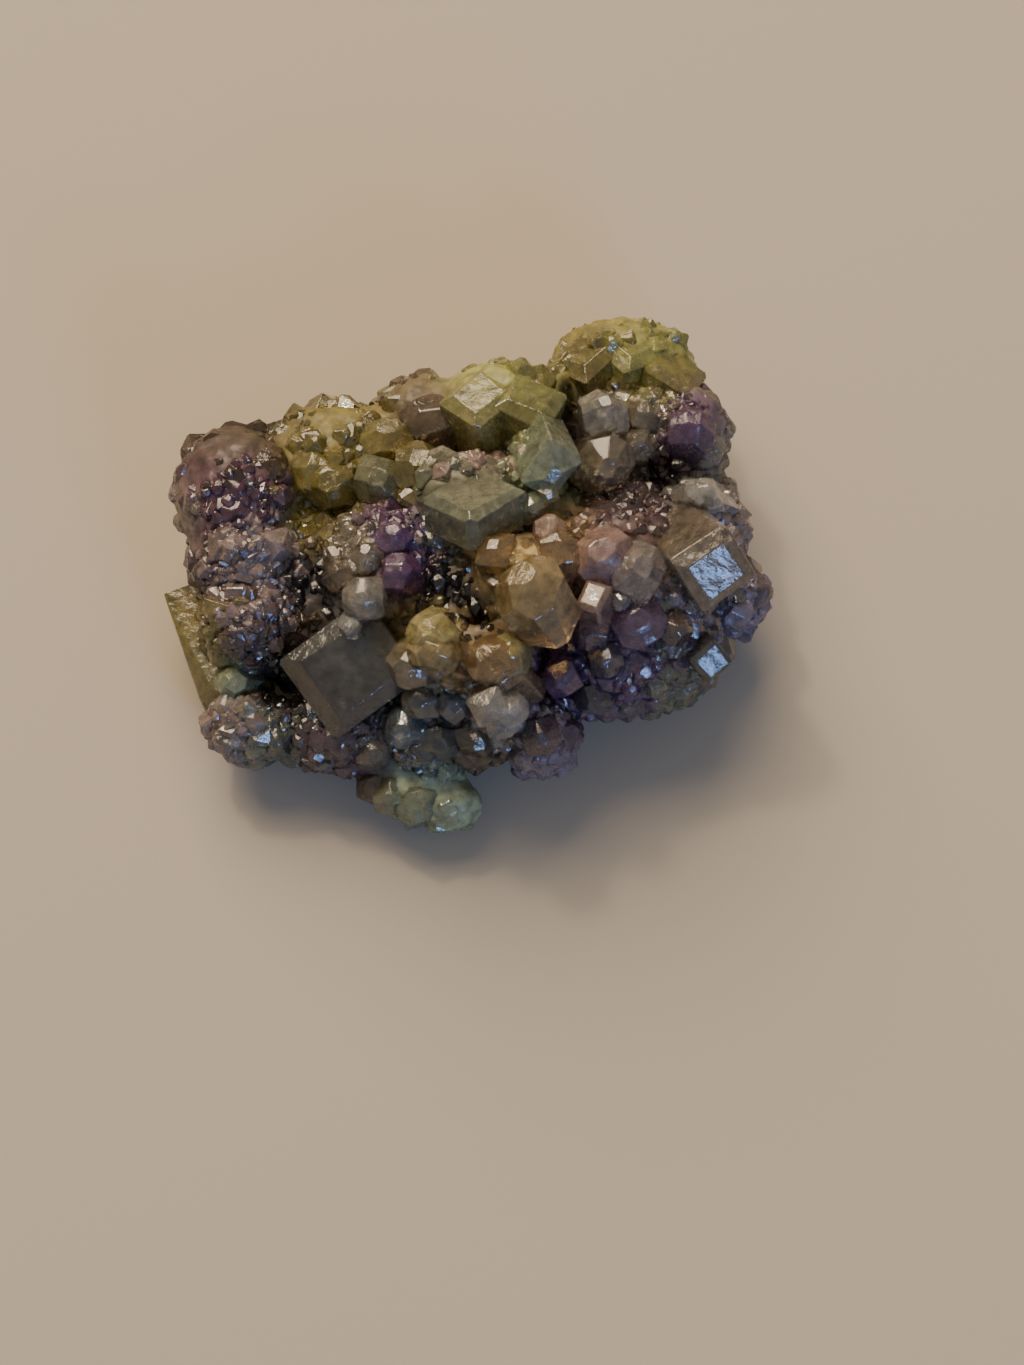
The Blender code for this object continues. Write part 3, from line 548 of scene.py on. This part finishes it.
def ellipsoids(rows, name):
    """One object of ellipsoids at the rows' places."""
    bm = bmesh.new()
    for across, up, height, wide, deep, tall in rows:
        place = Matrix.LocRotScale(seen_at(across, up, height), None, Vector((wide, deep, tall)))
        bmesh.ops.create_icosphere(bm, subdivisions=LUMP_DETAIL, radius=1, matrix=place)
    mesh = bpy.data.meshes.new(name)
    bm.to_mesh(mesh)
    bm.free()
    return link_new(name, mesh)


def remesh(thing, voxel):
    melt = thing.modifiers.new("melt", "REMESH")
    melt.mode = "VOXEL"
    melt.voxel_size = voxel


def rock_mass():
    """The lumps melted into one fine body with its pits, in millimetres."""
    lumps = ellipsoids(LUMPS, "lumps")
    pits = ellipsoids(PITS, "pits")
    remesh(lumps, 2 * MASS_VOXEL)
    cut = lumps.modifiers.new("pits", "BOOLEAN")
    cut.operation = "DIFFERENCE"
    cut.object = pits
    remesh(lumps, MASS_VOXEL)
    smooth = lumps.modifiers.new("smooth", "SMOOTH")
    smooth.iterations = MASS_SMOOTHING
    mesh = evaluated_mesh(lumps, "mass")
    for helper in (lumps, pits):
        bpy.data.objects.remove(helper)
    roughen(mesh)
    return mesh


def roughen(mesh):
    """Gives the mass small knobs, and keeps it on the ground."""
    normals = [vert.normal.copy() for vert in mesh.vertices]
    for vert, normal in zip(mesh.vertices, normals):
        place = vert.co
        knobs = sum(noise.noise(place * fineness) * rise for fineness, rise in KNOBS)
        vert.co = place + normal * knobs
        vert.co.z = max(vert.co.z, 0)


def crystal_cuts(width, cap, corner, rounded):
    """The planes that shape a crystal, as points and normals: the narrow prism faces, then the low
    faces round the cap."""
    half = width / 2
    for quarter in range(4):
        side = math.radians(90 * quarter)
        edge = side + math.radians(45)
        along = Vector((math.cos(side), math.sin(side), 0))
        across = Vector((math.cos(edge), math.sin(edge), 0))
        yield across * half * corner, across
        tilt = Vector((0, 0, math.cos(PYRAMID_SLOPE)))
        yield along * half * cap, along * math.sin(PYRAMID_SLOPE) + tilt
        if rounded:
            tilt = Vector((0, 0, math.cos(CORNER_SLOPE)))
            yield across * half * cap * corner, across * math.sin(CORNER_SLOPE) + tilt


def jolted(cuts, jolt, chance):
    """The same planes, each a little off, so that no two crystals are alike."""
    for point, normal in cuts:
        sway = Vector([chance.uniform(-jolt, jolt) for _ in range(3)])
        yield point * chance.uniform(1 - jolt, 1 + jolt), (normal + sway).normalized()


def crystal_shape(width, depth, length, cap, chance, rounded, bevel, jolt=JOLT):
    """Corners and faces of a crystal with its cap at the origin, its body below and soft edges."""
    corner = chance.uniform(*CORNER_RANGE) if rounded else SHARP_CORNER
    cuts = crystal_cuts(width, cap, corner, rounded)
    bm = bmesh.new()
    bmesh.ops.create_cube(bm, size=1)
    bmesh.ops.translate(bm, vec=(0, 0, -0.5), verts=bm.verts)
    bmesh.ops.scale(bm, vec=(width, width, length), verts=bm.verts)
    for point, normal in jolted(cuts, jolt, chance):
        everything = bm.verts[:] + bm.edges[:] + bm.faces[:]
        bmesh.ops.bisect_plane(
            bm, geom=everything, dist=SAME_PLACE, plane_co=point, plane_no=normal, clear_outer=True
        )
        rim = [edge for edge in bm.edges if edge.is_boundary]
        bmesh.ops.holes_fill(bm, edges=rim)
    bmesh.ops.scale(bm, vec=(1, depth, 1), verts=bm.verts)
    root = min(vert.co.z for vert in bm.verts) + length * ROOT_SHARE
    edges = [edge for edge in bm.edges if max(vert.co.z for vert in edge.verts) > root]
    if bevel:
        bmesh.ops.bevel(
            bm, geom=edges, offset=width * bevel, segments=1, affect="EDGES", clamp_overlap=True
        )
    bm.verts.index_update()
    corners = np.array([vert.co[:] for vert in bm.verts])
    faces = [[vert.index for vert in face.verts] for face in bm.faces]
    bm.free()
    return corners, faces


def placement(tip, axis, spin, size=1.0):
    """The matrix that puts a crystal's cap at the tip, with its length along the axis."""
    turn = axis.to_track_quat("Z", "Y").to_matrix().to_4x4()
    spun = turn @ Matrix.Rotation(spin, 4, "Z") @ Matrix.Scale(size, 4)
    return Matrix.Translation(tip) @ spun


class Heap:
    """Crystals of one family, gathered into one mesh."""

    def __init__(self):
        self.corners = []
        self.faces = []
        self.tints = []
        self.count = 0

    def add(self, shape, matrix, tint):
        corners, faces = shape
        matrix = np.array(matrix)
        moved = corners @ matrix[:3, :3].T + matrix[:3, 3]
        self.corners.append(moved)
        self.faces.extend([index + self.count for index in face] for face in faces)
        blend = OWN_SHARE * np.array(tint) + (1 - OWN_SHARE) * zone_tints(moved, shaded=False)
        self.tints.append(np.column_stack([blend, np.ones(len(moved))]))
        self.count += len(moved)

    def mesh(self, name):
        corners = np.concatenate(self.corners)
        corners[:, 2] = np.maximum(corners[:, 2], 0)
        mesh = bpy.data.meshes.new(name)
        mesh.from_pydata(corners.tolist(), [], self.faces)
        paint(mesh, np.concatenate(self.tints))
        return mesh


def paint(mesh, tints):
    layer = mesh.color_attributes.new("tint", "FLOAT_COLOR", "POINT")
    layer.data.foreach_set("color", tints.astype(np.float32).ravel())


def zone_weights(across, up):
    """How much each zone counts at the places of the view."""
    zones = np.array([zone[:4] for zone in ZONES])
    apart = (across[:, None] - zones[:, 0]) ** 2 + (up[:, None] - zones[:, 1]) ** 2
    return zones[:, 3] * np.exp(-apart / zones[:, 2] ** 2) + 1e-6


def seen_from(points):
    """Across and up of points in millimetres."""
    up = points[:, 1] * math.sin(VIEW_ELEVATION) + points[:, 2] * math.cos(VIEW_ELEVATION)
    return points[:, 0], up


def zone_tints(points, shaded):
    """The blended colour of the zones at each point, as bright as the mass shows it or in full."""
    weights = zone_weights(*seen_from(points))
    colours = []
    for *_, name in ZONES:
        srgb, _, shade = PALETTE[name]
        colours.append(np.array(linear(srgb)) * (shade * MASS_SHADE if shaded else 1))
    return weights @ np.array(colours) / weights.sum(axis=1)[:, None]


def zone_name(point, chance):
    """The tint of a zone near the point, nearer and stronger zones more often."""
    weights = zone_weights(*seen_from(np.array([point])))[0]
    return chance.choices([zone[4] for zone in ZONES], weights=weights)[0]


def varied(tint, chance):
    """The palette's colour a little lighter or darker."""
    shade = chance.uniform(*SHADE_RANGE)
    return tuple(min(part * shade, 1) for part in linear(PALETTE[tint][0]))


def grow_single_crystals(heaps, chance):
    """Puts each single crystal into its family's heap."""
    for across, up, height, width, depth, length, heading, lean, spin, cap, tint in CRYSTALS:
        rounded = ROUNDED_CAPS[0] < cap < ROUNDED_CAPS[1]
        if rounded:
            cap *= CAP_SHARE
        jolt = JOLT if rounded else SMALL_JOLT
        shape = crystal_shape(width, depth, length, cap, chance, rounded, BEVEL_SHARE, jolt)
        axis = lean_axis(heading, lean)
        matrix = placement(seen_at(across, up, height), axis, math.radians(spin))
        heaps[PALETTE[tint][1]].add(shape, matrix, varied(tint, chance))


def in_box(point):
    """Whether a point in millimetres lies in the box of the CAD."""
    low, high = CAD_BOX
    place = in_frame(point)
    return all(low[axis] < place[axis] < high[axis] for axis in range(3))


def grow_on(tree, start, toward, width, shapes, heaps, chance):
    """Grows one crystal where a ray meets the mass, roughly square to its surface."""
    place, normal, _, _ = tree.ray_cast(start, toward)
    if place is None:
        return False
    sway = Vector([chance.uniform(-BUNCH_SCATTER, BUNCH_SCATTER) for _ in range(3)])
    axis = (normal + sway).normalized()
    tip = place + axis * width * chance.uniform(*BUNCH_PROUD)
    if not in_box(tip):
        return False
    matrix = placement(tip, axis, chance.uniform(0, math.pi / 2), width)
    tint = zone_name(place, chance)
    heaps[PALETTE[tint][1]].add(chance.choice(shapes), matrix, varied(tint, chance))
    return True


def grow_bunches(rows, tree, shapes, heaps, chance):
    """Scatters crystals over what the view shows of the mass."""
    for across, up, half_across, half_up, count, least, most in rows:
        for _ in range(count):
            turn = chance.uniform(0, 2 * math.pi)
            reach = math.sqrt(chance.random())
            seen = (across + half_across * reach * math.cos(turn), up + half_up * reach * math.sin(turn))
            width = chance.uniform(least, most)
            grow_on(tree, seen_at(*seen, FAR_OUT), -TO_VIEW, width, shapes, heaps, chance)


def grow_hidden(tree, shapes, heaps, chance):
    """Covers what the view doesn't show or only grazes, but not the foot."""
    middle = seen_at(*HIDDEN_MIDDLE)
    wide, deep = HIDDEN_SPREAD
    for count, least, most, most_seen, steepest in HIDDEN:
        grown = 0
        while grown < count:
            turn = chance.uniform(0, 2 * math.pi)
            rise = chance.uniform(LOWEST_RISE, steepest)
            outward = Vector((math.cos(turn), math.sin(turn), rise)).normalized()
            aim = middle + Vector((chance.uniform(-wide, wide), chance.uniform(-deep, deep), 0))
            start = aim + outward * FAR_OUT
            _, normal, _, _ = tree.ray_cast(start, -outward)
            if normal is None or normal.dot(TO_VIEW) > most_seen or normal.z < FOOT_FACES:
                continue
            width = chance.uniform(least, most)
            grown += grow_on(tree, start, -outward, width, shapes, heaps, chance)


def pattern(tree, place, scale, detail, roughness=0.5):
    """A noise over the object."""
    made = tree.nodes.new("ShaderNodeTexNoise")
    made.inputs["Scale"].default_value = scale
    made.inputs["Detail"].default_value = detail
    made.inputs["Roughness"].default_value = roughness
    tree.links.new(place.outputs["Object"], made.inputs["Vector"])
    return made


def stretched(tree, noise_node, source, target):
    """The noise with its first range stretched to the second."""
    made = tree.nodes.new("ShaderNodeMapRange")
    for name, value in zip(("From Min", "From Max", "To Min", "To Max"), (*source, *target)):
        made.inputs[name].default_value = value
    tree.links.new(noise_node.outputs["Fac"], made.inputs["Value"])
    return made


def base_material(name, smoothest, haze):
    """A new material with its Principled shader: the tint varies and hazy spots dull the shine."""
    material = bpy.data.materials.new(name)
    material.use_nodes = True
    tree = material.node_tree
    join = tree.links.new
    shader = tree.nodes["Principled BSDF"]
    place = tree.nodes.new("ShaderNodeTexCoord")

    tint = tree.nodes.new("ShaderNodeAttribute")
    tint.attribute_name = "tint"
    cloud = pattern(tree, place, CLOUD_SCALE, detail=6.0, roughness=0.65)
    shade = tree.nodes.new("ShaderNodeVectorMath")
    shade.operation = "SCALE"
    join(tint.outputs["Color"], shade.inputs[0])
    join(stretched(tree, cloud, CLOUD_RANGE, CLOUD_SHADE).outputs["Result"], shade.inputs["Scale"])
    join(shade.outputs["Vector"], shader.inputs["Base Color"])

    spots = pattern(tree, place, SPOT_SCALE, detail=3.0)
    polish = stretched(tree, spots, SPOT_RANGE, (smoothest, smoothest + haze))
    join(polish.outputs["Result"], shader.inputs["Roughness"])

    ripple = pattern(tree, place, RIPPLE_SCALE, detail=5.0)
    bump = tree.nodes.new("ShaderNodeBump")
    bump.inputs["Strength"].default_value = RIPPLE_STRENGTH
    bump.inputs["Distance"].default_value = RIPPLE_DEPTH
    join(ripple.outputs["Fac"], bump.inputs["Height"])
    join(bump.outputs["Normal"], shader.inputs["Normal"])
    return material, shader, tree


def glass_material(name, clearness, roughness, haze, colour, density):
    material, shader, tree = base_material(name, roughness, haze)
    shader.inputs["Transmission Weight"].default_value = clearness
    shader.inputs["IOR"].default_value = CRYSTAL_IOR
    absorb = tree.nodes.new("ShaderNodeVolumeAbsorption")
    absorb.inputs["Density"].default_value = density
    absorb.inputs["Color"].default_value = (*linear(colour), 1)
    output = tree.nodes["Material Output"]
    tree.links.new(absorb.outputs["Volume"], output.inputs["Volume"])
    return material


def mass_material():
    material, shader, _ = base_material("cloudy_mass", *MASS_GLOSS)
    shader.inputs["IOR"].default_value = MASS_IOR
    shader.inputs["Subsurface Weight"].default_value = MASS_GLOW
    shader.inputs["Subsurface Radius"].default_value = MASS_GLOW_RADIUS
    shader.inputs["Subsurface Scale"].default_value = MASS_GLOW_SCALE
    return material


def finished(name, mesh, material, flat):
    """The mesh as a piece of the object, in metres and in the frame's place."""
    mesh.transform(Matrix.Translation(-BOX_MIDDLE))
    mesh.transform(Matrix.Scale(METRES_PER_MM, 4))
    mesh.materials.clear()
    mesh.materials.append(material)
    mesh.polygons.foreach_set("use_smooth", [not flat] * len(mesh.polygons))
    piece = link_new(name, mesh)
    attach(piece, "root")
    return piece


def prototypes(chance, bevel):
    """Crystals of unit width, to be reused at all sizes."""
    shapes = []
    for _ in range(PROTOTYPES):
        depth = chance.uniform(*DEPTH_RANGE)
        cap = chance.uniform(*CAP_RANGE)
        rounded = chance.random() < ROUNDED_PART
        shapes.append(crystal_shape(1.0, depth, BUNCH_LENGTH, cap, chance, rounded, bevel))
    return shapes


def build_cluster():
    """The mass as one piece, and each family of crystals as another."""
    mass = rock_mass()
    holder = bmesh.new()
    holder.from_mesh(mass)
    tree = BVHTree.FromBMesh(holder)
    holder.free()
    points = np.array([vert.co[:] for vert in mass.vertices])
    tints = zone_tints(points, shaded=True)
    paint(mass, np.column_stack([tints, np.ones(len(tints))]))

    chance = random.Random(SEED)
    heaps = {family: Heap() for family in FAMILIES}
    grow_single_crystals(heaps, chance)
    shapes = prototypes(chance, BEVEL_SHARE)
    grains = prototypes(chance, 0)
    grow_bunches(BUNCHES, tree, shapes, heaps, chance)
    grow_bunches(DRUSE, tree, shapes, heaps, chance)
    grow_bunches(GRAINS, tree, grains, heaps, chance)
    grow_hidden(tree, grains, heaps, random.Random(HIDDEN_SEED))

    body = finished("cloudy_mass", mass, mass_material(), flat=False)
    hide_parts(NODE)
    for family, heap in heaps.items():
        material = glass_material(f"{family}_crystal", *FAMILIES[family])
        finished(f"{family}_crystals", heap.mesh(f"{family}_crystals"), material, flat=True)


def floor():
    bpy.ops.mesh.primitive_plane_add(size=FLOOR_SIZE, location=(0, 0, -FLOOR_DROP))
    plane = bpy.context.object
    plane.name = "floor"
    material = bpy.data.materials.new("floor")
    material.use_nodes = True
    shader = material.node_tree.nodes["Principled BSDF"]
    shader.inputs["Base Color"].default_value = FLOOR_COLOUR
    shader.inputs["Roughness"].default_value = FLOOR_ROUGHNESS
    plane.data.materials.append(material)


def camera():
    """Looks down at the cluster as the frame shows it."""
    data = bpy.data.cameras.new("camera")
    data.sensor_width = SENSOR
    tall = FRAME_PIXELS[1] / PIXELS_PER_MM
    data.lens = SENSOR * VIEW_DISTANCE / tall
    data.clip_start = NEAREST_SEEN
    aim = seen_at(*FRAME_MIDDLE, AIM_HEIGHT)
    thing = bpy.data.objects.new("camera", data)
    thing.location = in_frame(aim + TO_VIEW * VIEW_DISTANCE)
    thing.rotation_euler = (math.pi / 2 - VIEW_ELEVATION, 0, 0)
    bpy.context.scene.collection.objects.link(thing)
    bpy.context.scene.camera = thing


def area_light(name, heading, elevation, size, power, colour):
    """A soft light that faces the cluster from a heading and an elevation in degrees."""
    away = lean_axis(heading, 90 - elevation)
    data = bpy.data.lights.new(name, "AREA")
    data.shape = "DISK"
    data.size = size
    data.energy = power
    data.color = colour
    thing = bpy.data.objects.new(name, data)
    thing.location = away * LAMP_DISTANCE
    thing.rotation_euler = away.to_track_quat("Z", "Y").to_euler()
    bpy.context.scene.collection.objects.link(thing)


def lights():
    for name, setting in LAMPS.items():
        area_light(name, *setting)
    world = bpy.data.worlds.new("studio")
    world.use_nodes = True
    background = world.node_tree.nodes["Background"]
    background.inputs["Color"].default_value = SKY_COLOUR
    background.inputs["Strength"].default_value = SKY_STRENGTH
    bpy.context.scene.world = world


build_cluster()
floor()
camera()
lights()
